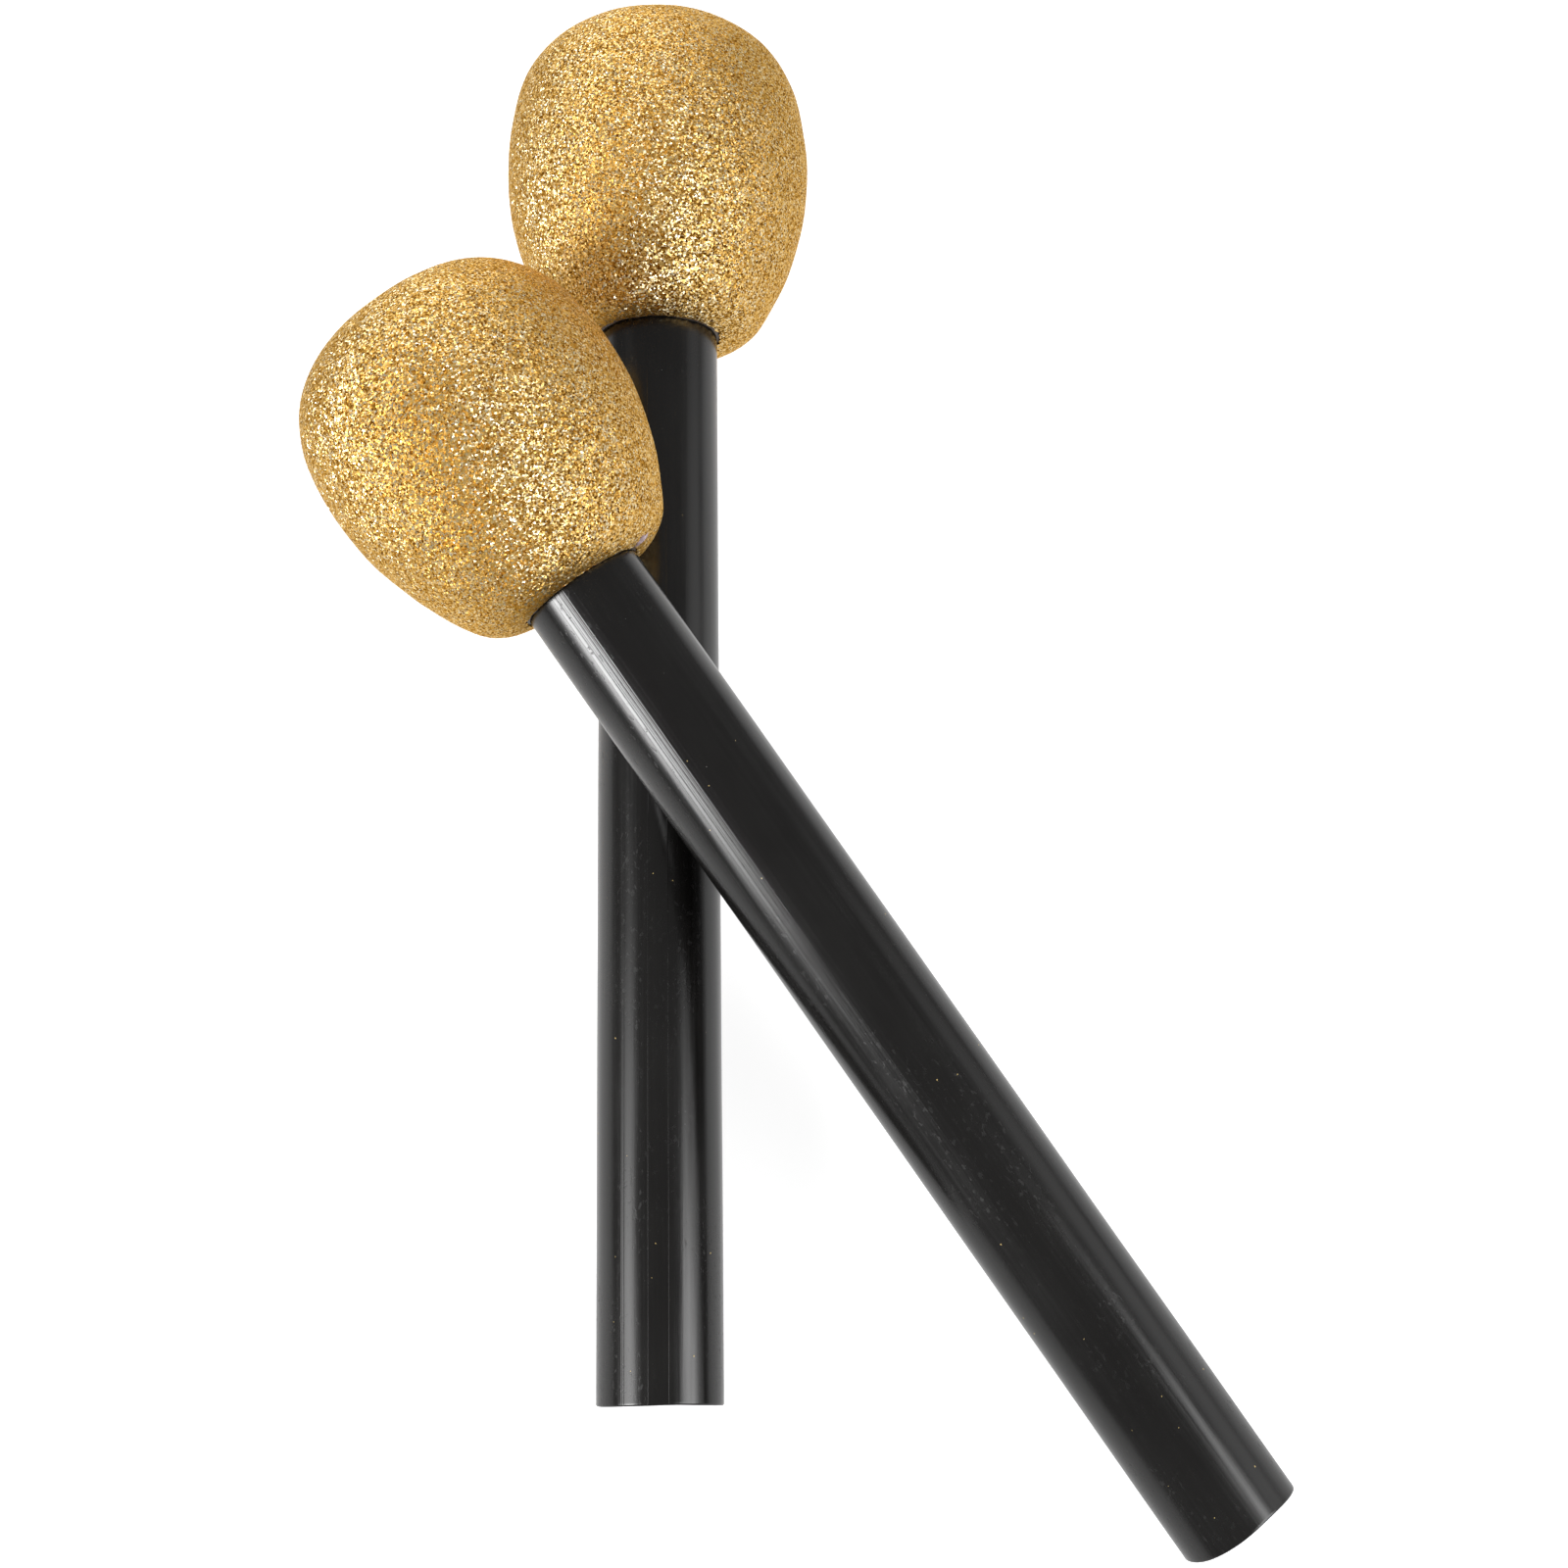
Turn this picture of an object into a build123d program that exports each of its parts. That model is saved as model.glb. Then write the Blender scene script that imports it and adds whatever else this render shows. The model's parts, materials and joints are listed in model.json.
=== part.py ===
from build123d import *
import math
import os

# A pair of prop microphones that lie crossed on a table. Each is a plain hollow tube pushed into an
# egg-shaped foam head. The head wears a thin coat of glitter, and glue fills the countersunk mouth of its
# hole, around the tube. The lower microphone lies along Y. The upper one lies across it, propped up by the
# lower handle, with its cut end on the table. Sizes are in millimetres and angles in degrees.
# The origin is on the table, in the middle of the pair's bounding box.

# handle: a tube whose open end is cut square
HANDLE_RADIUS = 11.0
HANDLE_WALL = 2.0
HANDLE_SHOWN = 195.0  # from the cut end to the flat mouth of the head
HANDLE_HIDDEN = 36.0  # pushed into the foam
CUT_EDGE_ROUNDING = 0.35

# head: its outline runs down from the crown through a shoulder, a side and a lip, each arc tangent to the next
LOWER_HEAD_HEIGHT = 63.0
UPPER_HEAD_HEIGHT = 60.5
CROWN_RADIUS = 56.0
SHOULDER_RADIUS = 20.0
SIDE_RADIUS = 55.0
LIP_RADIUS = 9.0
HEAD_RADIUS = 28.4  # at the widest place
WIDEST_HEIGHT = 33.5  # of the widest place, above the mouth
COAT_THICKNESS = 0.3

# mouth of the head's hole
COAT_CLEARANCE = 0.5  # between the handle and the coat's inner edge
GLUE_WIDTH = 1.0
GLUE_DEPTH = 2.4

# how the pair lies: the tubes cross at these distances from their cut ends
CROSSING_ON_LOWER = 114.6
CROSSING_ON_UPPER = 165.4
CROSSING_ANGLE = 35.0  # seen from above
RESTING_GAP = 0.6  # left between the two handles where they cross
STANCE_ROUNDS = 30  # of the loop that settles the upper microphone's slope

# centres of the side and lip arcs, out from the head's axis and up from its mouth; the flat mouth ends
# right under the lip's centre
SIDE_CENTRE = Vector(HEAD_RADIUS - SIDE_RADIUS, WIDEST_HEIGHT)
LIP_REACH = math.sqrt((SIDE_RADIUS - LIP_RADIUS) ** 2 - (WIDEST_HEIGHT - LIP_RADIUS) ** 2)
LIP_CENTRE = Vector(SIDE_CENTRE.X + LIP_REACH, LIP_RADIUS)


def head_arcs(height):
    """Centre, radius, start angle and sweep of each arc of a head's outline, from the crown to the lip.

    X is the distance from the head's axis, and Y is the height above its mouth.
    """
    crown_centre = Vector(0, height - CROWN_RADIUS)
    # arcs are tangent where their centres are as far apart as their radii differ
    shoulder_to_crown = CROWN_RADIUS - SHOULDER_RADIUS
    shoulder_to_side = SIDE_RADIUS - SHOULDER_RADIUS
    crown_to_side = SIDE_CENTRE - crown_centre
    apart = crown_to_side.length
    along = (shoulder_to_crown**2 - shoulder_to_side**2 + apart**2) / (2 * apart)
    outward = math.sqrt(shoulder_to_crown**2 - along**2)
    toward_side = crown_to_side.normalized()
    shoulder_centre = crown_centre + toward_side * along + Vector(toward_side.Y, -toward_side.X) * outward

    def angle(start, end):
        return math.degrees(math.atan2(end.Y - start.Y, end.X - start.X))

    turns = [90, angle(crown_centre, shoulder_centre), angle(SIDE_CENTRE, shoulder_centre)]
    turns += [angle(SIDE_CENTRE, LIP_CENTRE), -90]
    centres = [crown_centre, shoulder_centre, SIDE_CENTRE, LIP_CENTRE]
    radii = [CROWN_RADIUS, SHOULDER_RADIUS, SIDE_RADIUS, LIP_RADIUS]
    return [(c, r, start, end - start) for c, r, start, end in zip(centres, radii, turns, turns[1:])]


def draw_head_side(height, depth):
    """Draw a head's outline from crown to lip, at a depth under its skin, with the handle's end at Y 0."""
    for centre, radius, start, sweep in head_arcs(height):
        CenterArc(centre + Vector(0, HANDLE_SHOWN), radius - depth, start, sweep)


class Stance:
    """Where a microphone lies: its cut end's centre, its direction towards the head, and a level side."""

    def __init__(self, end, direction, side):
        self.end = end
        self.direction = direction
        self.side = side

    def shifted(self, shift):
        return Stance(self.end + shift, self.direction, self.side)

    def axis(self):
        return Axis(self.end, self.direction)

    def outline_plane(self):
        """Plane of the half outlines, with X out from the axis and Y along it."""
        return Plane(self.end, x_dir=self.side, z_dir=self.side.cross(self.direction))

    def cut_plane(self):
        """Plane of the handle's cut end."""
        return Plane(self.end, x_dir=self.side, z_dir=self.direction)


def lower_stance():
    """The lower microphone lies on the round of its head's side and on its cut end's edge."""
    drop = HANDLE_RADIUS - SIDE_CENTRE.X
    reach = HANDLE_SHOWN + WIDEST_HEIGHT
    slope = math.asin(SIDE_RADIUS / math.hypot(drop, reach)) - math.atan2(drop, reach)
    end = Vector(0, 0, HANDLE_RADIUS * math.cos(slope))
    return Stance(end, Vector(0, math.cos(slope), math.sin(slope)), Vector(1, 0, 0))


def upper_stance(lower):
    """The upper microphone bridges the lower handle, and its cut end's edge is on the table."""
    turn = math.radians(CROSSING_ANGLE)
    side = Vector(math.cos(turn), math.sin(turn), 0)
    crossing = lower.end + lower.direction * CROSSING_ON_LOWER
    slope = 0.0
    for _ in range(STANCE_ROUNDS):
        level = math.cos(slope)
        direction = Vector(-math.sin(turn) * level, math.cos(turn) * level, math.sin(slope))
        apart = direction.cross(lower.direction).normalized() * -(2 * HANDLE_RADIUS + RESTING_GAP)
        over_crossing = crossing + apart
        slope = math.asin((over_crossing.Z - HANDLE_RADIUS * level) / CROSSING_ON_UPPER)
    return Stance(over_crossing - direction * CROSSING_ON_UPPER, direction, side)


lower = lower_stance()
upper = upper_stance(lower)
head_heights = {"lower": LOWER_HEAD_HEIGHT, "upper": UPPER_HEAD_HEIGHT}

# the space that the whole pair fills gives the origin, in the middle of its underside
with BuildPart() as envelope:
    for stance, head_height in zip((lower, upper), head_heights.values()):
        with BuildSketch(stance.outline_plane()):
            with BuildLine():
                draw_head_side(head_height, 0)
                Polyline(
                    (LIP_CENTRE.X, HANDLE_SHOWN),
                    (HANDLE_RADIUS, HANDLE_SHOWN),
                    (HANDLE_RADIUS, 0),
                    (0, 0),
                    (0, HANDLE_SHOWN + head_height),
                )
            make_face()
        revolve(axis=stance.axis())
box = envelope.part.bounding_box()
to_origin = Vector(-box.center().X, -box.center().Y, -box.min.Z)
stances = {"lower": lower.shifted(to_origin), "upper": upper.shifted(to_origin)}

os.makedirs("parts", exist_ok=True)
for name, stance in stances.items():
    head_height = head_heights[name]
    crown = HANDLE_SHOWN + head_height
    mouth = HANDLE_SHOWN + COAT_THICKNESS  # of the foam, under the coat

    # handle: an open tube with a slightly rounded outer edge where it was cut
    with BuildPart() as handle_tube:
        with BuildSketch(stance.cut_plane()):
            Circle(HANDLE_RADIUS)
            Circle(HANDLE_RADIUS - HANDLE_WALL, mode=Mode.SUBTRACT)
        extrude(amount=HANDLE_SHOWN + HANDLE_HIDDEN)
        cut_edges = handle_tube.edges().filter_by(GeomType.CIRCLE).group_by(stance.axis())[0]
        fillet(cut_edges.sort_by(SortBy.RADIUS)[-1], CUT_EDGE_ROUNDING)
    handle_tube.part.label = f"{name}_handle_tube"
    export_step(handle_tube.part, f"parts/{name}_handle_tube.step")

    # foam core: the egg shape under the coat, with a blind hole for the handle and a countersunk mouth
    with BuildPart() as foam_core:
        with BuildSketch(stance.outline_plane()):
            with BuildLine():
                draw_head_side(head_height, COAT_THICKNESS)
                Polyline(
                    (LIP_CENTRE.X, mouth),
                    (HANDLE_RADIUS + GLUE_WIDTH, mouth),
                    (HANDLE_RADIUS, mouth + GLUE_DEPTH),
                    (HANDLE_RADIUS, HANDLE_SHOWN + HANDLE_HIDDEN),
                    (0, HANDLE_SHOWN + HANDLE_HIDDEN),
                    (0, crown - COAT_THICKNESS),
                )
            make_face()
        revolve(axis=stance.axis())
    foam_core.part.label = f"{name}_foam_core"
    export_step(foam_core.part, f"parts/{name}_foam_core.step")

    # glitter coat: a thin skin all over the foam, down to its inner edge around the handle
    with BuildPart() as glitter_coat:
        with BuildSketch(stance.outline_plane()):
            with BuildLine():
                draw_head_side(head_height, 0)
                Polyline(
                    (LIP_CENTRE.X, HANDLE_SHOWN),
                    (HANDLE_RADIUS + COAT_CLEARANCE, HANDLE_SHOWN),
                    (HANDLE_RADIUS + COAT_CLEARANCE, mouth),
                    (LIP_CENTRE.X, mouth),
                )
                draw_head_side(head_height, COAT_THICKNESS)
                Line((0, crown - COAT_THICKNESS), (0, crown))
            make_face()
        revolve(axis=stance.axis())
    glitter_coat.part.label = f"{name}_glitter_coat"
    export_step(glitter_coat.part, f"parts/{name}_glitter_coat.step")

    # glue ring: fills the countersink between the foam and the handle
    with BuildPart() as glue_ring:
        with BuildSketch(stance.outline_plane()):
            with BuildLine():
                Polyline(
                    (HANDLE_RADIUS, mouth),
                    (HANDLE_RADIUS + GLUE_WIDTH, mouth),
                    (HANDLE_RADIUS, mouth + GLUE_DEPTH),
                    close=True,
                )
            make_face()
        revolve(axis=stance.axis())
    glue_ring.part.label = f"{name}_glue_ring"
    export_step(glue_ring.part, f"parts/{name}_glue_ring.step")
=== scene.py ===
import json
import math

import bpy
import numpy as np
from mathutils import Matrix, Vector, noise
from mathutils.geometry import convex_hull_2d, delaunay_2d_cdt


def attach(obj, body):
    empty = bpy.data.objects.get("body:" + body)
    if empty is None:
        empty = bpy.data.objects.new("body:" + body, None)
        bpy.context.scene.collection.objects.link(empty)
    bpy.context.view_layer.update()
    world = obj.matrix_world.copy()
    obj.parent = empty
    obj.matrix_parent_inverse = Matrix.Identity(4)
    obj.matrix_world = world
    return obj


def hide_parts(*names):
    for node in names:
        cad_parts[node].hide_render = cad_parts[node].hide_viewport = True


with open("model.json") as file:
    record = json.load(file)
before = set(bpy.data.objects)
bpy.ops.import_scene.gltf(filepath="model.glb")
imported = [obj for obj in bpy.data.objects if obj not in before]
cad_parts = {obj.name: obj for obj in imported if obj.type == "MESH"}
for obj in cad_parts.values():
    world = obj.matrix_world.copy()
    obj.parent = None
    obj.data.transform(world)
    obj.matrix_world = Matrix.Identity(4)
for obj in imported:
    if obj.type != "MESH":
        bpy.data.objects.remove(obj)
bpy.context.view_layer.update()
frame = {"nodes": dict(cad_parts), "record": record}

# A pair of crossed prop microphones: black plastic tube handles, foam heads coated with gold glitter.
# Sizes are in metres unless a comment says otherwise. A microphone's pieces are worked out in its own frame:
# Z runs along the handle from the middle of its cut end to the head, X is on the upper side, and Y is level.
# new_piece then puts their points in the shared frame.
MM = 0.001
UP = Vector((0, 0, 1))
TURN = 2 * math.pi

rng = np.random.default_rng(41)
mounts = {mount["name"]: mount for mount in frame["record"]["mounts"]}


# ---------- mesh helpers ----------
def new_piece(name, points, faces, place, smooth_under=None):
    """Mesh object from points in the frame that place gives.

    Edges that bend by less than smooth_under degrees are smoothed.
    """
    placed = np.asarray(points) @ np.array(place.to_3x3()).T + np.array(place.translation)
    mesh = bpy.data.meshes.new(name)
    mesh.from_pydata(placed.tolist(), [], faces)
    mesh.validate()
    if smooth_under is not None:
        mesh.shade_smooth()
        mesh.set_sharp_from_angle(angle=math.radians(smooth_under))
    piece = bpy.data.objects.new(name, mesh)
    bpy.context.scene.collection.objects.link(piece)
    return piece


def angles_round(count):
    """Evenly spaced angles, all the way round."""
    return np.arange(count) * TURN / count


def ring_points(reach, angles, height):
    """Points round the Z axis, with one reach and height for all of them or one for each."""
    return list(zip(reach * np.cos(angles), reach * np.sin(angles), np.full(len(angles), height)))


def join_rings(low, high, around):
    """Quads between two rings of points, given by the number of each ring's first point."""
    faces = []
    for i in range(around):
        j = (i + 1) % around
        faces.append((low + i, low + j, high + j, high + i))
    return faces


def fan(tip, ring, around):
    """Triangles between a ring of points and one point that closes it."""
    return [(tip, ring + i, ring + (i + 1) % around) for i in range(around)]


def flipped(faces):
    return [face[::-1] for face in faces]


def looped_wall(rings, around):
    """Faces of a wall made of rings of points, whose last ring joins its first."""
    faces = []
    for ring in range(rings):
        faces += join_rings(ring * around, (ring + 1) % rings * around, around)
    return flipped(faces)


def capped_wall(rings, around):
    """Faces from one first point, over rings of points, to one last point."""
    faces = fan(0, 1, around)
    for ring in range(rings - 1):
        low = 1 + ring * around
        faces += flipped(join_rings(low, low + around, around))
    last = 1 + rings * around
    return faces + flipped(fan(last, last - around, around))


def arc(centre, radius, start, end, steps):
    """Points (distance from the axis, height) of an arc between two angles in degrees."""
    angles = np.radians(np.linspace(start, end, steps))
    return [(centre[0] + radius * math.cos(a), centre[1] + radius * math.sin(a)) for a in angles]


def unevenness(points, size, seed):
    """Smooth random values from about -1 to 1 at points, with swells of about the given size."""
    shift = Vector((seed, 2 * seed, 3 * seed))
    return np.array([noise.noise(Vector(point) / size + shift) for point in points]) * 2


class Outline:
    """A head's outline, with its outward direction, by distance along it from the crown."""

    STEP = 0.25 * MM

    def __init__(self, corners):
        corners = np.array(corners)
        lengths = np.concatenate(([0], np.cumsum(np.hypot(*np.diff(corners, axis=0).T))))
        self.length = lengths[-1]
        self.at = np.linspace(0, self.length, int(self.length / self.STEP))
        self.radius = np.interp(self.at, lengths, corners[:, 0])
        self.height = np.interp(self.at, lengths, corners[:, 1])
        run, rise = np.gradient(self.radius), np.gradient(self.height)
        self.out = -rise / np.hypot(run, rise)
        self.up = run / np.hypot(run, rise)

    def point(self, at, lift=0.0):
        """Distance from the axis and height, lifted off the outline."""
        radius, height, out, up = (
            np.interp(at, self.at, known) for known in (self.radius, self.height, self.out, self.up)
        )
        return radius + out * lift, height + up * lift

    def flat_map(self):
        """Distances from the middle of a flat map of the head on which small shapes keep their angles."""
        spacing = self.at[1]
        middles = (self.radius[1:] + self.radius[:-1]) / 2
        stretch = np.concatenate(([0], np.cumsum(spacing / np.maximum(middles, spacing / 2))))
        near_crown = 4
        reach = np.exp(stretch - stretch[near_crown]) * self.at[near_crown]
        reach[:near_crown] = self.at[:near_crown]
        return reach


class Microphone:
    """One microphone's frame and sizes, from the record's mounts, and its head's outline, from its coat."""

    def __init__(self, name):
        end = mounts[f"{name}_handle_end"]
        grip = mounts[f"{name}_handle_grip"]
        self.name = name
        self.body = f"{name}_microphone"
        self.radius = grip["dims"]["r_mm"] * MM
        self.mouth = grip["dims"]["length_mm"] * MM
        self.bore = end["dims"]["r_mm"] * MM
        self.whole = end["dims"]["length_mm"] * MM
        self.end = Vector(end["pos_m"])
        self.along = -Vector(end["axis"]).normalized()
        level = self.along.cross(UP).normalized()
        self.place = Matrix((level.cross(self.along), level, self.along)).transposed().to_4x4()
        self.place.translation = self.end
        self.outline = Outline(self.coat_corners())

    def coat_corners(self):
        """Distances from the axis and heights of the coat's outside, from crown to edge at the mouth."""
        flat = []
        for vertex in frame["nodes"][f"{self.name}_glitter_coat"].data.vertices:
            offset = vertex.co - self.end
            height = offset.dot(self.along)
            flat.append(Vector(((offset - self.along * height).length, height)))
        hull = [flat[i] for i in convex_hull_2d(flat)]
        crown = max(corner.y for corner in hull)
        sides = {tuple(corner) for corner in hull if corner.x > MM}
        # seen from a point on the axis inside the head, the sides turn steadily from the crown down
        inside = self.mouth + MM
        return [(0.0, crown)] + sorted(sides, key=lambda side: -math.atan2(side[1] - inside, side[0]))

    def finish(self, piece, material, slot, *nodes):
        """Give a piece its material and its place on the microphone's body, and hide the CAD nodes that it
        stands for.
        """
        piece.data.materials.append(material)
        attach(piece, self.body)
        if nodes:
            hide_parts(*nodes)


# ---------- materials ----------
class Nodes:
    """A node tree, made node by node."""

    def __init__(self, tree):
        self.tree = tree

    def node(self, kind, inputs=(), **settings):
        made = self.tree.nodes.new(f"ShaderNode{kind}")
        for name, value in settings.items():
            setattr(made, name, value)
        for socket, value in dict(inputs).items():
            self.give(made.inputs[socket], value)
        return made

    def give(self, socket, value):
        if isinstance(value, bpy.types.NodeSocket):
            self.tree.links.new(value, socket)
        else:
            socket.default_value = value

    def math(self, operation, *values):
        return self.node("Math", enumerate(values), operation=operation).outputs[0]

    def vector(self, operation, *values):
        return self.node("VectorMath", enumerate(values), operation=operation).outputs[0]

    def scaled(self, vector, scale):
        return self.node("VectorMath", {"Vector": vector, "Scale": scale}, operation="SCALE").outputs[0]

    def ramp(self, value, stops):
        made = self.node("ValToRGB", {"Fac": value})
        elements = made.color_ramp.elements
        while len(elements) < len(stops):
            elements.new(1.0)
        for element, (position, colour) in zip(elements, stops):
            element.position = position
            element.color = (*colour, 1.0)
        return made.outputs["Color"]

    def range(self, value, low, high, to_low=0.0, to_high=1.0, **settings):
        sockets = {"Value": value, "From Min": low, "From Max": high, "To Min": to_low, "To Max": to_high}
        return self.node("MapRange", sockets, **settings).outputs["Result"]

    def mix(self, amount, first, second):
        made = self.node("Mix", data_type="RGBA")
        colours = [socket for socket in made.inputs if socket.type == "RGBA"]
        self.give(made.inputs["Factor"], amount)
        self.give(colours[0], first)
        self.give(colours[1], second)
        return next(socket for socket in made.outputs if socket.type == "RGBA")

    def bump(self, height, distance, below=None):
        sockets = {"Height": height, "Distance": distance}
        if below is not None:
            sockets["Normal"] = below
        return self.node("Bump", sockets).outputs["Normal"]


class Shader(Nodes):
    """A procedural material. Its patterns lie in a microphone's own frame."""

    def __init__(self, name, mic=None):
        self.material = bpy.data.materials.new(name)
        self.material.use_nodes = True
        super().__init__(self.material.node_tree)
        self.surface = self.tree.nodes["Principled BSDF"]
        if mic is not None:
            self.place = self.own_place(mic)

    def own_place(self, mic):
        offset = self.vector("SUBTRACT", self.node("TexCoord").outputs["Object"], tuple(mic.end))
        place = self.node("CombineXYZ")
        for axis, socket in zip(mic.place.to_3x3().col, place.inputs):
            part = self.node("VectorMath", {0: offset, 1: tuple(axis)}, operation="DOT_PRODUCT")
            self.give(socket, part.outputs["Value"])
        return place.outputs["Vector"]

    def set(self, **values):
        for name, value in values.items():
            self.give(self.surface.inputs[name.replace("_", " ")], value)

    def noise(self, stretch, scale, detail=2.0, roughness=0.5):
        vector = self.vector("MULTIPLY", self.place, stretch)
        sockets = {"Vector": vector, "Scale": scale, "Detail": detail, "Roughness": roughness}
        return self.node("TexNoise", sockets).outputs["Fac"]

    def cells(self, stretch, scale, **settings):
        vector = self.vector("MULTIPLY", self.place, stretch)
        return self.node("TexVoronoi", {"Vector": vector, "Scale": scale}, **settings).outputs


# how a pattern is stretched: a share below 1 on Z draws it out along the handle
UNSTRETCHED = (1.0, 1.0, 1.0)
DRAWN_OUT = (1.0, 1.0, 0.02)
# colours by a flake's own random value, from dark to bright: a random tone of the flakes, whose darkest end
# is painted shade and whose near-white brightest end is a painted glint
GOLDS_WITH_PAINTED_SHADE_AND_GLINT = [
    (0.0, (0.13, 0.045, 0.004)),
    (0.22, (0.37, 0.165, 0.018)),
    (0.5, (0.66, 0.39, 0.09)),
    (0.8, (0.92, 0.64, 0.25)),
    (1.0, (1.0, 0.94, 0.70)),
]
EDGE_GOLD = (0.95, 0.75, 0.45, 1.0)
FLAKE_TILT = 0.95  # full range of the shift of a flake's normal, on each axis
DULLEST_FLAKE, GLOSSIEST_FLAKE = 0.6, 0.35
BLACKS = [(0.3, (0.0055, 0.005, 0.0047)), (0.7, (0.0085, 0.008, 0.0075))]
SPECKS = [(0.4, (0.32, 0.32, 0.31)), (0.6, (0.45, 0.33, 0.13))]
LARGEST_SPECK = 0.045  # in cells
FOAM_TONES = [(0.3, (0.70, 0.58, 0.36)), (0.7, (0.84, 0.76, 0.58))]
FOAM_SEAM = (0.42, 0.32, 0.18, 1.0)


def glitter_material(mic):
    """Each flake, a facet of the skin, has its own gold, its own tilt and its own gloss; the darkest golds
    are painted shade and the brightest are painted glints.
    """
    shader = Shader(f"{mic.name}_gold_glitter", mic)
    flake = shader.node("Attribute", attribute_name="flake").outputs["Fac"]
    own = shader.node("TexWhiteNoise", {"W": flake}, noise_dimensions="1D").outputs
    # the flake's gold: random tone, with painted shade at the dark end and painted glints at the bright end
    colour = shader.ramp(own["Value"], GOLDS_WITH_PAINTED_SHADE_AND_GLINT)
    tilt = shader.scaled(shader.vector("SUBTRACT", own["Color"], (0.5, 0.5, 0.5)), FLAKE_TILT)
    tilted = shader.vector("ADD", shader.node("NewGeometry").outputs["Normal"], tilt)
    shader.set(
        Base_Color=colour,
        Metallic=1.0,
        Specular_Tint=EDGE_GOLD,
        Roughness=shader.range(own["Value"], 0.0, 1.0, DULLEST_FLAKE, GLOSSIEST_FLAKE),
        Normal=shader.vector("NORMALIZE", tilted),
    )
    return shader.material


def plastic_material(mic):
    """Glossy black plastic with drawn streaks, scuffs, fine pits and a few stuck specks of glitter."""
    shader = Shader(f"{mic.name}_black_plastic", mic)
    streaks = shader.noise(DRAWN_OUT, 1500.0, detail=3.0, roughness=0.65)
    smudges = shader.noise((1.0, 1.0, 0.4), 110.0, detail=4.0, roughness=0.6)
    pits = shader.range(shader.noise((1.0, 1.0, 0.6), 1300.0), 0.58, 0.72)
    patches = shader.range(shader.noise((1.0, 1.0, 0.5), 60.0), 0.45, 0.6)
    pitted = shader.math("MULTIPLY", pits, patches)
    speck = shader.cells(UNSTRETCHED, 300.0)
    size = shader.range(speck["Color"], 0.2, 0.8, 0.0, LARGEST_SPECK)
    on_speck = shader.math("LESS_THAN", speck["Distance"], size)
    smudged = shader.range(smudges, 0.3, 0.7, 0.15, 0.2)
    roughness = shader.math("ADD", smudged, shader.math("MULTIPLY", pitted, 0.2))
    roughness = shader.math("ADD", roughness, shader.range(streaks, 0.35, 0.65, 0.0, 0.08))
    bumps = shader.bump(pitted, -0.006 * MM, shader.bump(streaks, 0.012 * MM))
    shader.set(
        Base_Color=shader.mix(on_speck, shader.ramp(smudges, BLACKS), shader.ramp(speck["Color"], SPECKS)),
        Roughness=roughness,
        IOR=1.5,
        Normal=shader.bump(on_speck, 0.03 * MM, bumps),
    )
    return shader.material


def foam_material(mic):
    """Pale foam made of small fused beads."""
    shader = Shader(f"{mic.name}_foam", mic)
    beads = shader.cells(UNSTRETCHED, 700.0, feature="F1")
    tone = shader.noise(UNSTRETCHED, 200.0, detail=3.0)
    seams = shader.range(beads["Distance"], 0.35, 0.75)
    shader.set(
        Base_Color=shader.mix(seams, shader.ramp(tone, FOAM_TONES), FOAM_SEAM),
        Roughness=0.85,
        Normal=shader.bump(seams, -0.25 * MM),
    )
    return shader.material


def glue_material(mic, name, dark, pale):
    """Dried glue: cloudy, with a soft shine."""
    shader = Shader(f"{mic.name}_{name}", mic)
    clouds = shader.noise(UNSTRETCHED, 700.0, detail=4.0, roughness=0.6)
    shader.set(
        Base_Color=shader.ramp(clouds, [(0.35, dark), (0.65, pale)]),
        Roughness=shader.range(clouds, 0.3, 0.7, 0.3, 0.55),
        Normal=shader.bump(clouds, 0.12 * MM),
    )
    return shader.material


# ---------- handle ----------
HANDLE_SIDES = 160
WALL_STEP = 3 * MM
NEAR_CUT = [2.2 * MM, 1.5 * MM, 1.0 * MM, 0.6 * MM]  # heights of the rings close to the cut
OUTER_ROUNDING = 0.35 * MM
INNER_ROUNDING = 0.2 * MM
WALL_SWELL = 0.02 * MM
WALL_SWELL_SIZE = 9 * MM
CUT_DEPTH = 5 * MM  # how far from the cut end its unevenness dies out
LINE_WIDTH = 0.09 * MM
LINE_CLEARANCE = 2.2 * LINE_WIDTH  # on each side of a die line, without other points
LINE_STEEPNESS = 2.5
ACROSS_LINE = np.array([-1.5, -1.0, -0.5, 0.0, 0.5, 1.0, 1.5])  # points across a die line, in line widths
# die lines along each handle: degrees round from its upper side, and height in mm, below zero for a groove
DIE_LINES = {
    "lower": [(-7.2, 0.025), (10.7, 0.025), (-31.0, -0.02), (-34.0, 0.01)],
    "upper": [
        (-38.0, 0.01),
        (-34.5, 0.02),
        (-32.0, -0.012),
        (-29.0, -0.022),
        (-26.5, 0.01),
        (-24.7, 0.026),
        (-17.0, 0.014),
        (3.0, 0.006),
    ],
}
# waves of each cut round the tube: their count, height and phase
CUT_WAVES = {
    "lower": [(2, 0.06 * MM, 0.4), (3, 0.05 * MM, 1.0), (7, 0.015 * MM, 2.0)],
    "upper": [(2, 0.10 * MM, 0.4), (3, 0.22 * MM, 1.3), (7, 0.02 * MM, 2.0)],
}


def turned_from(line, angles):
    """How far each angle is turned from a line, from minus half a turn to half a turn."""
    return (angles - line + math.pi) % TURN - math.pi


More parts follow.
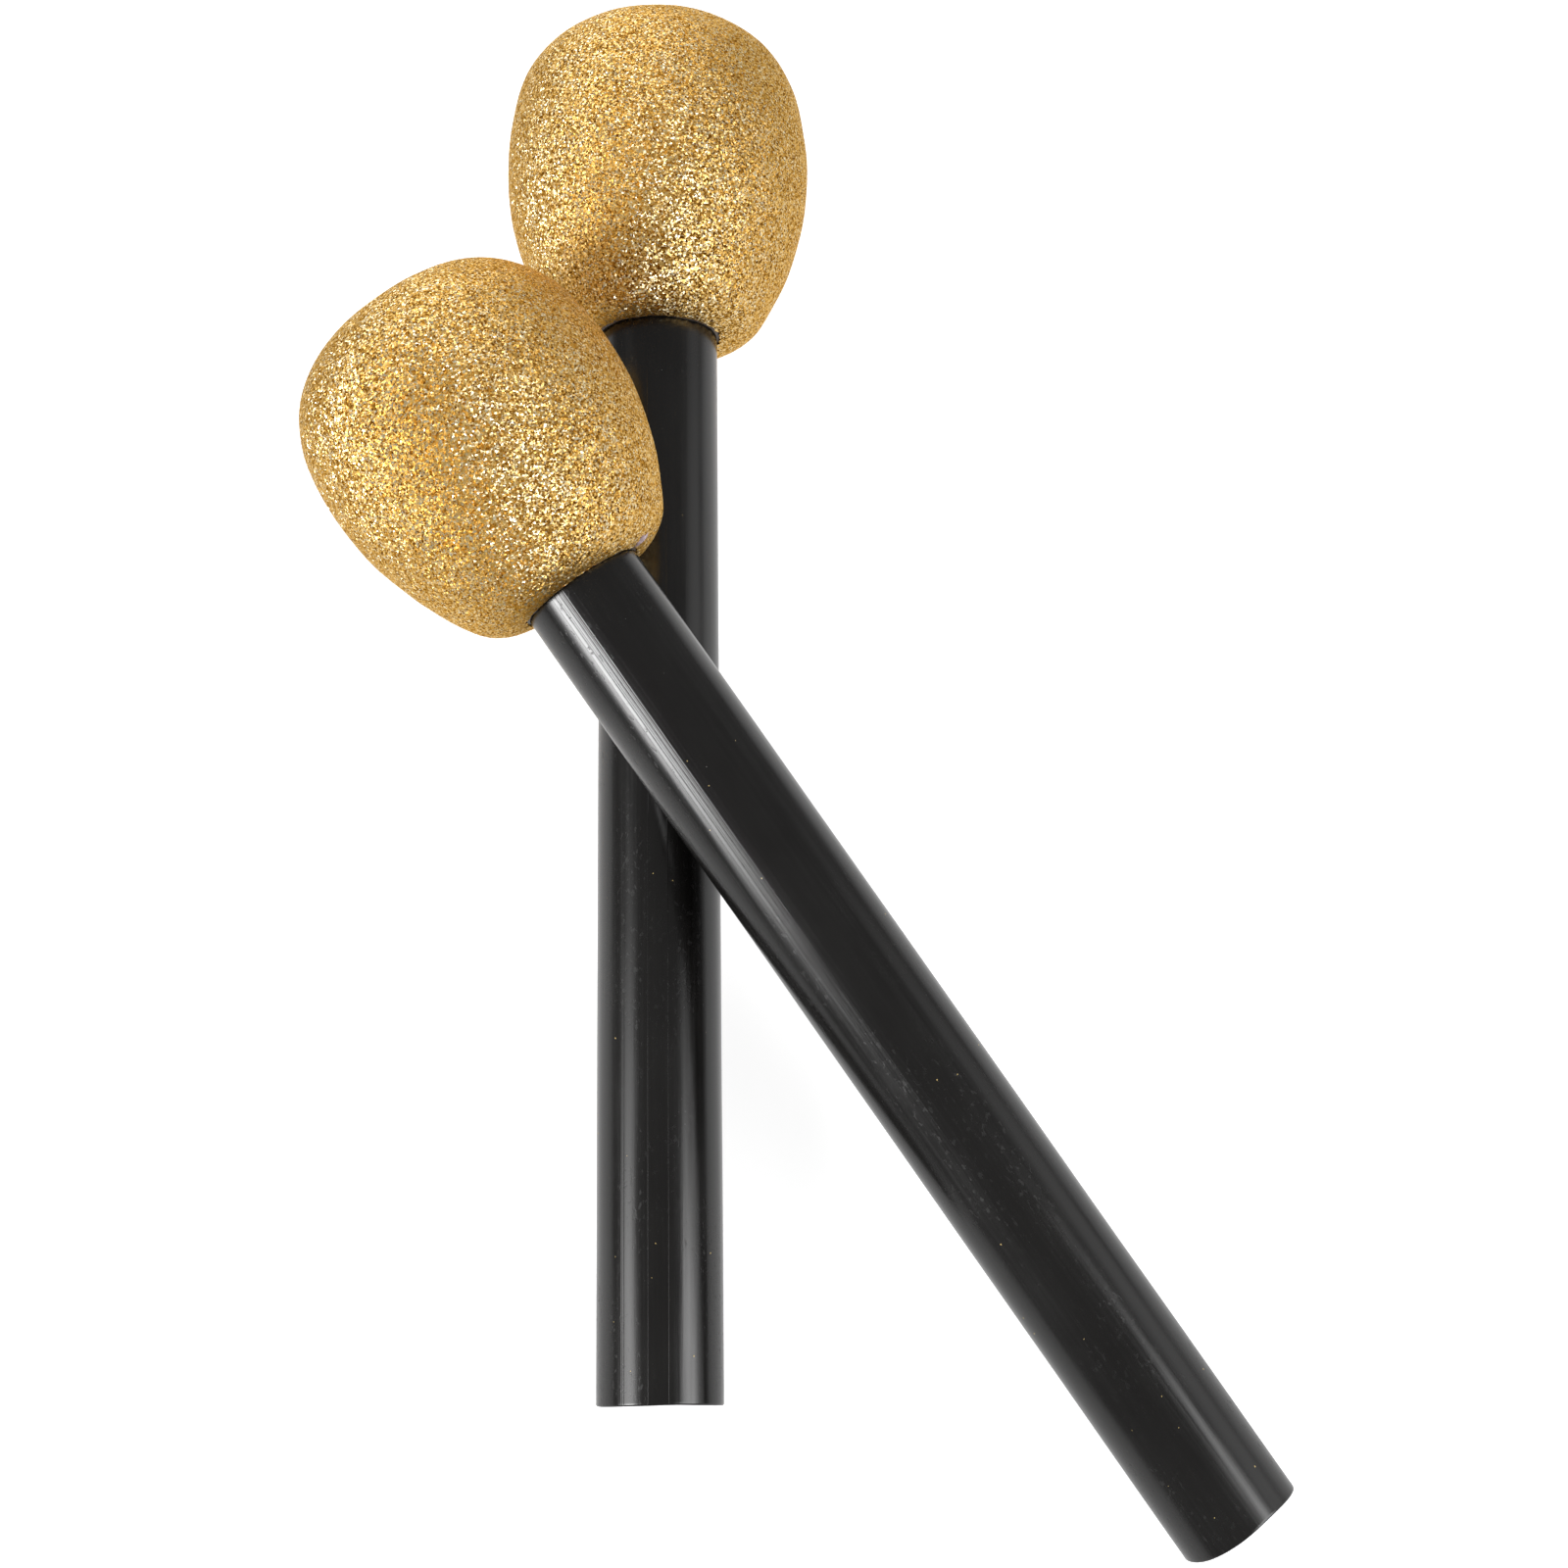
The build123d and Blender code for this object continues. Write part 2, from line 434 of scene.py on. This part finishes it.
def make_handle(mic, material, die_lines, cut_waves):
    """The tube: an open wall with drawn die lines along it and a slightly uneven cut."""
    wall = list(np.arange(mic.whole, WALL_STEP, -WALL_STEP))
    profile = [(mic.radius, height) for height in wall + NEAR_CUT]
    profile += arc((mic.radius - OUTER_ROUNDING, OUTER_ROUNDING), OUTER_ROUNDING, 0, -90, 6)
    profile += arc((mic.bore + INNER_ROUNDING, INNER_ROUNDING), INNER_ROUNDING, -90, -180, 5)
    profile += [(mic.bore, height) for height in NEAR_CUT[::-1] + wall[::-2]]
    # angles round the tube, closer together on each die line
    angles = angles_round(HANDLE_SIDES)
    for line, _ in die_lines:
        kept = np.abs(turned_from(line, angles)) > LINE_CLEARANCE / mic.radius
        angles = np.concatenate((angles[kept], (line + ACROSS_LINE * LINE_WIDTH / mic.radius) % TURN))
    angles.sort()
    raised = np.zeros_like(angles)
    for line, height in die_lines:
        widths_off = turned_from(line, angles) * mic.radius / LINE_WIDTH
        raised += height * np.exp(-LINE_STEEPNESS * widths_off**2)
    cut = sum(size * np.cos(count * angles - phase) for count, size, phase in cut_waves)
    points = []
    for radius, height in profile:
        lift = raised if radius == mic.radius else 0.0
        points += ring_points(radius + lift, angles, height + cut * math.exp(-height / CUT_DEPTH))
    points = np.array(points)
    outside = np.hypot(points[:, 0], points[:, 1]) > mic.radius - 0.5 * OUTER_ROUNDING
    swell = unevenness(points * (1, 1, 0.3), WALL_SWELL_SIZE, 3.1) * WALL_SWELL * outside
    points[:, :2] *= 1 + (swell / mic.radius)[:, None]
    faces = looped_wall(len(profile), len(angles))
    piece = new_piece(f"{mic.name}_handle", points, faces, mic.place, 50)
    mic.finish(piece, material, "handle_plastic", f"{mic.name}_handle_tube")


# ---------- head ----------
FLAKE = 0.385 * MM
FLAKE_SHAKE = 0.36  # of the spacing, either way
FLAKE_LOW, FLAKE_HIGH = -1.2, 0.8  # limits of a corner's height, in lifts
FLAKE_LIFT = 0.03 * MM
SWELL = 0.1 * MM
SWELL_SIZE = 8 * MM
RIM_OUT = 0.15 * MM  # how far the coat's edge stands off its CAD circle, and how much that varies
RIM_RAGGEDNESS = 0.3 * MM
RIM_TOOTH = 0.9 * MM
COAT_THICKNESS = 0.3 * MM
INNER_RINGS = 34
SAME_POINT = 1e-9


def make_coat(mic, material, seed):
    """The glitter coat: a skin of small facets, each tilted its own way, closed by a smooth inner skin."""
    # corners of the facets, in shaken rows round the head, with an even rim
    outline = mic.outline
    row = FLAKE * math.sqrt(3) / 2
    rows = int(outline.length / row)
    rim = int(TURN * outline.radius[-1] / FLAKE)
    at, angle = [np.zeros(1)], [np.zeros(1)]
    for k in range(1, rows):
        here = k * outline.length / rows
        count = max(5, int(round(TURN * outline.point(here)[0] / FLAKE)))
        shake = rng.uniform(-FLAKE_SHAKE, FLAKE_SHAKE, (2, count))
        at.append(here + shake[0] * row)
        angle.append((np.arange(count) + rng.uniform() + shake[1]) * TURN / count)
    rim_angles = angles_round(rim)
    at = np.concatenate(at + [np.full(rim, outline.length)])
    angle = np.concatenate(angle + [rim_angles])

    # the corners are joined on a flat map of the head
    reach = np.interp(at, outline.at, outline.flat_map())
    flat = [Vector((r * math.cos(a), r * math.sin(a))) for r, a in zip(reach, angle)]
    _, _, triangles, originals, _, _ = delaunay_2d_cdt(flat, [], [], 0, SAME_POINT, True)
    first = [group[0] for group in originals]
    faces = [tuple(first[i] for i in triangle) for triangle in triangles]

    base = ring_points(outline.point(at)[0], angle, outline.point(at)[1])
    lift = rng.uniform(FLAKE_LOW, FLAKE_HIGH, len(at)) * FLAKE_LIFT
    lift += unevenness(base, SWELL_SIZE, seed) * SWELL
    ragged = RIM_OUT + RIM_RAGGEDNESS * unevenness(base[-rim:], RIM_TOOTH, seed)
    lift[-rim:] = 0.0
    radius, height = outline.point(at, lift)
    radius[-rim:] += ragged
    points = ring_points(radius, angle, height)

    low = len(points) - rim
    for ring, inner in enumerate(np.linspace(outline.length, 0.0, INNER_RINGS)[:-1]):
        inner_radius, inner_height = outline.point(inner, -COAT_THICKNESS)
        high = len(points)
        points += ring_points(inner_radius + (ragged if ring == 0 else 0.0), rim_angles, inner_height)
        faces += join_rings(low, high, rim)
        low = high
    points.append((0.0, 0.0, outline.height[0] - COAT_THICKNESS))
    faces += flipped(fan(len(points) - 1, low, rim))

    piece = new_piece(f"{mic.name}_head_glitter", points, faces, mic.place)
    flakes = piece.data.attributes.new("flake", "FLOAT", "FACE")
    flakes.data.foreach_set("value", rng.uniform(0, 1, len(faces)))
    mic.finish(piece, material, "glitter", f"{mic.name}_glitter_coat")


FOAM_SIDES = 96
FOAM_DEPTH = 1.1 * COAT_THICKNESS  # under the coat's outside
FOAM_MARGIN = 2 * MM  # left free at both ends of the outline
FOAM_RINGS = 40
HOLE_CLEARANCE = 0.02 * MM
HOLE_FROM = 6 * MM  # first ring of the hole's wall, in from the foam's mouth
HOLE_RINGS = 6
HOLE_END_RINGS = 9
MOUTH_WIDTH = 1.0 * MM  # of the countersink, out from the handle
MOUTH_DEPTH = 2.4 * MM
BEAD = 1.6 * MM
BEAD_HEIGHT = 0.2 * MM
CLOSE = 0.01 * MM


def make_foam(mic, material):
    """The foam egg under the coat, with a countersunk blind hole for the handle."""
    angles = angles_round(FOAM_SIDES)
    outline = mic.outline
    hole = mic.radius + HOLE_CLEARANCE
    sunk = mic.mouth + COAT_THICKNESS
    skin = np.linspace(FOAM_MARGIN, outline.length - FOAM_MARGIN, FOAM_RINGS)
    profile = [outline.point(at, -FOAM_DEPTH) for at in skin]
    profile += [(mic.radius + MOUTH_WIDTH, sunk), (hole, sunk + MOUTH_DEPTH)]
    profile += [(hole, height) for height in np.linspace(sunk + HOLE_FROM, mic.whole, HOLE_RINGS)]
    profile += [(reach, mic.whole) for reach in np.linspace(hole, 0, HOLE_END_RINGS)[1:-1]]
    points = [(0.0, 0.0, outline.height[0] - FOAM_DEPTH)]
    for reach, height in profile:
        points += ring_points(reach, angles, height)
    points.append((0.0, 0.0, mic.whole))
    # the hole's end, which shows through the tube, is knobbly
    knobbly = [
        i
        for i, (x, y, height) in enumerate(points)
        if abs(height - mic.whole) < CLOSE and math.hypot(x, y) < mic.bore
    ]
    knobs = unevenness([points[i] for i in knobbly], BEAD, 9.7) * BEAD_HEIGHT
    for i, knob in zip(knobbly, knobs):
        points[i] = (*points[i][:2], points[i][2] + BEAD_HEIGHT + knob)
    faces = capped_wall(len(profile), FOAM_SIDES)
    piece = new_piece(f"{mic.name}_head_foam", points, faces, mic.place, 40)
    mic.finish(piece, material, "foam", f"{mic.name}_foam_core")


# ---------- glue ----------
GLUE_SIDES = 144
GLUE_CLEARANCE = 0.01 * MM  # between the handle and the glue
# the glue is coloured almost black: painted shade for the dark gap between the coat's edge and the handle
GLUE_COLOURS_AS_PAINTED_SHADE = (0.03, 0.018, 0.01), (0.10, 0.06, 0.03)
# the glue's section, from deep in the countersink over its face to the handle, in mm: distance out from the
# handle and how much it varies, then depth in from the foam's mouth and how much it varies
GLUE_SECTION = [
    (0.0, 0.0, 2.3, 0.0),
    (0.85, 0.0, 0.1, 0.0),
    (0.40, 0.04, -0.02, -0.04),
    (0.15, 0.04, -0.06, -0.06),
    (0.0, 0.0, -0.16, -0.12),
]

SMEAR_SIDES = 40
SMEAR_COLOURS = (0.24, 0.15, 0.15), (0.55, 0.44, 0.47)
SMEAR_ANGLE = math.radians(63)  # round from the head's upper side
SMEAR_FROM_MOUTH = 2.2 * MM  # along the outline
SMEAR_HALF_LENGTH = 1.6 * MM
SMEAR_HALF_WIDTH = 1.2 * MM
SMEAR_WAVES = [(3, 0.24, 1.0), (5, 0.14, 0.0)]  # of its edge: their count, height and phase
SMEAR_GRAIN, SMEAR_GRAIN_SCALE = 0.07, 900
# the smear's section, over its top and then under it: share of its half sizes, and height in mm
SMEAR_SECTION = [(0.0, 0.34), (0.3, 0.33), (0.55, 0.27), (0.75, 0.18), (0.92, 0.05), (1.0, -0.12)]
SMEAR_SECTION += [(0.0, -0.12)]


def make_glue(mic, material, seed):
    """The glue in the countersink: an uneven bead round the handle."""
    angles = angles_round(GLUE_SIDES)
    circle = ring_points(mic.radius, angles, 0.0)
    creep = unevenness(circle, 3 * MM, seed)
    spread = unevenness(circle, 2 * MM, seed + 5)
    wall = mic.radius + GLUE_CLEARANCE
    sunk = mic.mouth + COAT_THICKNESS
    points = []
    for out, out_varies, deep, deep_varies in GLUE_SECTION:
        reach = wall + out * MM + out_varies * MM * spread
        points += ring_points(reach, angles, sunk + deep * MM + deep_varies * MM * creep)
    faces = looped_wall(len(GLUE_SECTION), GLUE_SIDES)
    piece = new_piece(f"{mic.name}_glue", points, faces, mic.place, 70)
    mic.finish(piece, material, "glue", f"{mic.name}_glue_ring")


def make_smear(mic, material):
    """A smear of glue left on the head's lip."""
    outline = mic.outline
    at = outline.length - SMEAR_FROM_MOUTH
    points = []
    for share, lift in SMEAR_SECTION:
        for turned in angles_round(SMEAR_SIDES):
            swell = sum((size * math.sin(count * turned + phase) for count, size, phase in SMEAR_WAVES), 1.0)
            here = at + share * swell * SMEAR_HALF_LENGTH * math.cos(turned)
            beside = share * swell * SMEAR_HALF_WIDTH * math.sin(turned) / outline.point(here)[0]
            grain = SMEAR_GRAIN * noise.noise(Vector((here, beside, 0)) * SMEAR_GRAIN_SCALE) * (lift > 0)
            radius, height = outline.point(here, (lift + grain) * MM)
            angle = SMEAR_ANGLE + beside
            points.append((radius * math.cos(angle), radius * math.sin(angle), height))
            if share == 0.0:
                break  # the middle is one point
    faces = capped_wall(len(SMEAR_SECTION) - 2, SMEAR_SIDES)
    piece = new_piece(f"{mic.name}_glue_smear", points, faces, mic.place, 60)
    mic.finish(piece, material, "glue")


# ---------- stage ----------
FLOOR_SIDES = 96
FLOOR_ALBEDO, BOUNCE_ALBEDO = 0.55, 0.5
FLAT_RADIUS = 0.9
BEND_FROM, BEND_RADIUS, BEND_STEPS = 1.5, 0.9, 10
WALL_TOP = 1.7
BOUNCE_DEPTH = 0.5 * MM
GLOW, BOUNCE_FAR_GLOW = 0.8, 0.15
GLOW_NEAR, GLOW_FAR = 0.08, 0.4  # distances from the middle between which a glow fades
WORLD_GREY = 0.23
# azimuth and elevation, distance, half width and half height in degrees, radiance, and share evenly bright
LIGHTS = {
    "left_box": (199, 34, 1.0, 24, 18, 6.0, 0.25),
    "left_lamp": (208, 29, 0.98, 11, 17, 21.0, 0.25),
    "right_box": (335, 33, 1.0, 20, 17, 6.3, 0.7),
    "right_fill": (0, 17, 1.1, 36, 22, 0.9, 0.25),
    "back_box": (100, 25, 1.2, 50, 27, 2.9, 0.25),
}
CAMERA_PLACE = Vector((2.42, -148.32, 477.56)) * MM
CAMERA_TARGET = Vector((-0.69, -6.64, 20.0)) * MM
CAMERA_ROLL = -2.0
CAMERA_LENS = 60.99


def make_floor(name, profile, albedo, glow, far_glow=None):
    """A white round floor from its outline, with a glow that can fade with the distance from its middle."""
    angles = angles_round(FLOOR_SIDES)
    points = []
    for reach, above in profile:
        points += ring_points(reach, angles, above)
    faces = [tuple(range(FLOOR_SIDES))]
    for ring in range(len(profile) - 1):
        faces += join_rings(ring * FLOOR_SIDES, (ring + 1) * FLOOR_SIDES, FLOOR_SIDES)
    floor = new_piece(name, points, faces, Matrix(), 60)
    shader = Shader(f"{name}_white")
    if far_glow is not None:
        place = shader.node("TexCoord").outputs["Object"]
        away = shader.node("VectorMath", {0: place}, operation="LENGTH").outputs["Value"]
        glow = shader.range(away, GLOW_NEAR, GLOW_FAR, glow, far_glow)
    shader.set(Base_Color=(albedo, albedo, albedo, 1.0), Roughness=0.8)
    shader.set(Emission_Color=(1.0, 1.0, 1.0, 1.0), Emission_Strength=glow)
    floor.data.materials.append(shader.material)
    return floor


def make_light(name, azimuth, elevation, distance, half_wide, half_high, radiance, even):
    """A soft box that faces the object and fades towards its edges.

    Its half sizes are the degrees that it spans from there.
    """
    light = bpy.data.lights.new(name, "AREA")
    light.shape = "RECTANGLE"
    light.size = 2 * distance * math.tan(math.radians(half_wide))
    light.size_y = 2 * distance * math.tan(math.radians(half_high))
    light.energy = radiance * math.pi * light.size * light.size_y
    light.use_nodes = True
    panel = Nodes(light.node_tree)
    across = panel.node("NewGeometry").outputs["Parametric"]
    from_middle = panel.vector("MULTIPLY_ADD", across, (2, 2, 0), (-1, -1, 0))
    fades = [
        panel.range(panel.math("ABSOLUTE", side), 1.0, even, interpolation_type="SMOOTHSTEP")
        for side in panel.node("SeparateXYZ", {"Vector": from_middle}).outputs[:2]
    ]
    panel.give(panel.tree.nodes["Emission"].inputs["Strength"], panel.math("MULTIPLY", *fades))
    lamp = bpy.data.objects.new(name, light)
    turn, rise = math.radians(azimuth), math.radians(elevation)
    away = Vector((math.cos(turn) * math.cos(rise), math.sin(turn) * math.cos(rise), math.sin(rise)))
    lamp.location = away * distance
    lamp.rotation_euler = away.to_track_quat("Z", "Y").to_euler()
    lamp.visible_camera = False
    bpy.context.scene.collection.objects.link(lamp)


def make_camera():
    data = bpy.data.cameras.new("camera")
    data.lens = CAMERA_LENS
    data.clip_start = 0.01
    camera = bpy.data.objects.new("camera", data)
    turn = (CAMERA_TARGET - CAMERA_PLACE).to_track_quat("-Z", "Y").to_matrix()
    turn = turn @ Matrix.Rotation(math.radians(CAMERA_ROLL), 3, "Z")
    camera.matrix_world = Matrix.Translation(CAMERA_PLACE) @ turn.to_4x4()
    bpy.context.scene.collection.objects.link(camera)
    bpy.context.scene.camera = camera


make_camera()
# the floor that the camera sees curves up into a wall far away; just under it is a smaller one, which glows
# less with distance and which only reflections and bounced light see
bowl = [(FLAT_RADIUS, 0.0)] + arc((BEND_FROM, BEND_RADIUS), BEND_RADIUS, -90, 0, BEND_STEPS)
bowl += [(BEND_FROM + BEND_RADIUS, WALL_TOP)]
floor = make_floor("floor", bowl, FLOOR_ALBEDO, GLOW)
floor.visible_glossy = False
floor.visible_diffuse = False
disc = [(0.3, -BOUNCE_DEPTH), (0.6, -BOUNCE_DEPTH)]
bounce = make_floor("floor_bounce", disc, BOUNCE_ALBEDO, GLOW, BOUNCE_FAR_GLOW)
bounce.visible_camera = False
bounce.visible_shadow = False
for light_name, light_values in LIGHTS.items():
    make_light(light_name, *light_values)
world = bpy.data.worlds.new("studio")
world.use_nodes = True
world.node_tree.nodes["Background"].inputs["Color"].default_value = (*[WORLD_GREY] * 3, 1.0)
bpy.context.scene.world = world
bpy.context.scene.view_settings.view_transform = "Standard"

# ---------- the pair ----------
COAT_SEED = 1.7
GLUE_SEED = 4.3

for number, name in enumerate(("lower", "upper")):
    mic = Microphone(name)
    lines = [(math.radians(turned) % TURN, height * MM) for turned, height in DIE_LINES[name]]
    make_handle(mic, plastic_material(mic), lines, CUT_WAVES[name])
    make_coat(mic, glitter_material(mic), COAT_SEED + number)
    make_foam(mic, foam_material(mic))
    # the glue's near-black colours are painted shade in the gap at the neck
    make_glue(mic, glue_material(mic, "glue", *GLUE_COLOURS_AS_PAINTED_SHADE), GLUE_SEED + number)
    if name == "upper":
        make_smear(mic, glue_material(mic, "smear", *SMEAR_COLOURS))
